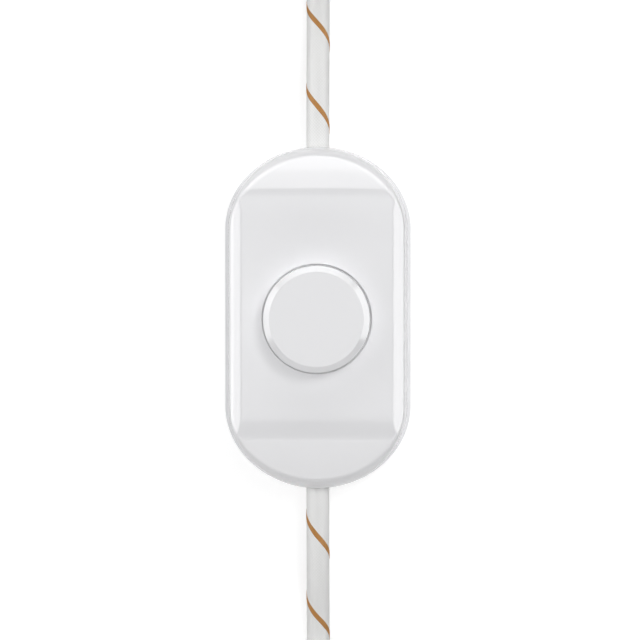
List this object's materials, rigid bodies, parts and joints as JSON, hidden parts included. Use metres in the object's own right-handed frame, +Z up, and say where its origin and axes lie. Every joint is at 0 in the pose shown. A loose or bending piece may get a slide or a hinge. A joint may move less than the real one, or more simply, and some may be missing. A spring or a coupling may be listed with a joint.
{
  "type": "inline cord dimmer",
  "caption": "White inline rotary dimmer on a round textile-covered cord, with a turning knob, a flat plug on the mains side and bare cores on the lamp side.",
  "frame": {"origin": "middle of the housing's flat underside, below the knob's axis", "axes": "+Z up through the knob, +Y along the cord towards the mains side, +X to the right"},
  "size_m": [0.057, 0.4074, 0.031],
  "materials": {
    "white_plastic": "glossy moulded white",
    "knob_plastic": "glossy moulded white",
    "steel": "zinc plated",
    "spring_steel": "plated spring strip",
    "shaft_aluminium": "turned",
    "zinc": "die cast",
    "board_laminate": "paper laminate",
    "black_plastic": "moulded black",
    "tinned_copper": "tinned",
    "heat_sink_aluminium": "punched sheet",
    "core_paint": "painted ring",
    "enamelled_copper": "enamelled wire",
    "capacitor_plastic": "filled plastic box",
    "resistor_lacquer": "lacquered",
    "fuse_glass_blue": "glass bead",
    "fuse_glass": "clear tube",
    "nickel": "nickel plated brass",
    "terminal_plastic": "moulded green",
    "brown_pvc": "extruded",
    "blue_pvc": "extruded",
    "cord_textile": "braided white textile with a gold spiral thread",
    "tie_webbing": "woven strap",
    "plug_plastic": "moulded white"
  },
  "bodies": {
    "housing": {"upper_shell": "white_plastic", "lower_shell": "white_plastic", "housing_screws": "steel", "potentiometer_bush": "zinc", "potentiometer_body": "board_laminate", "switch_case": "black_plastic", "potentiometer_pins": "tinned_copper", "circuit_board": "board_laminate", "board_screws": "steel", "triac": "black_plastic", "heat_sink": "heat_sink_aluminium", "heat_sink_screw": "steel", "heat_sink_nut": "steel", "choke_core": "core_paint", "choke_winding": "enamelled_copper", "film_capacitor": "capacitor_plastic", "timing_capacitor": "capacitor_plastic", "resistors": "resistor_lacquer", "diac": "fuse_glass_blue", "fuse_tube": "fuse_glass", "fuse_caps": "nickel", "fuse_clips": "spring_steel", "mains_terminal_block": "terminal_plastic", "lamp_terminal_block": "terminal_plastic", "terminal_screws": "steel", "mains_cord_clamp": "white_plastic", "lamp_cord_clamp": "white_plastic", "clamp_screws": "steel", "mains_brown_core": "brown_pvc", "mains_blue_core": "blue_pvc", "lamp_brown_core": "brown_pvc", "lamp_blue_core": "blue_pvc", "mains_cord": "cord_textile", "mains_cord_hank": "cord_textile", "mains_hank_tie": "tie_webbing", "mains_cord_tail": "cord_textile", "plug_moulding": "plug_plastic", "plug_pins": "nickel", "plug_pin_sleeves": "black_plastic", "lamp_cord": "cord_textile", "lamp_cord_hank": "cord_textile", "lamp_hank_tie": "tie_webbing", "lamp_cord_tail": "cord_textile", "lamp_end_sleeve": "plug_plastic", "lamp_end_brown_core": "brown_pvc", "lamp_end_blue_core": "blue_pvc", "lamp_end_ferrules": "tinned_copper"},
    "control_knob": {"knob": "knob_plastic", "knob_spring_clip": "spring_steel", "potentiometer_shaft": "shaft_aluminium", "wiper_disc": "spring_steel"}
  },
  "joints": [
    {"name": "knob_turn", "type": "hinge", "parent": "housing", "child": "control_knob", "pos_m": [0, 0, 0.0275], "axis": [0, 0, 1], "range_deg": [-300, 0]}
  ]
}
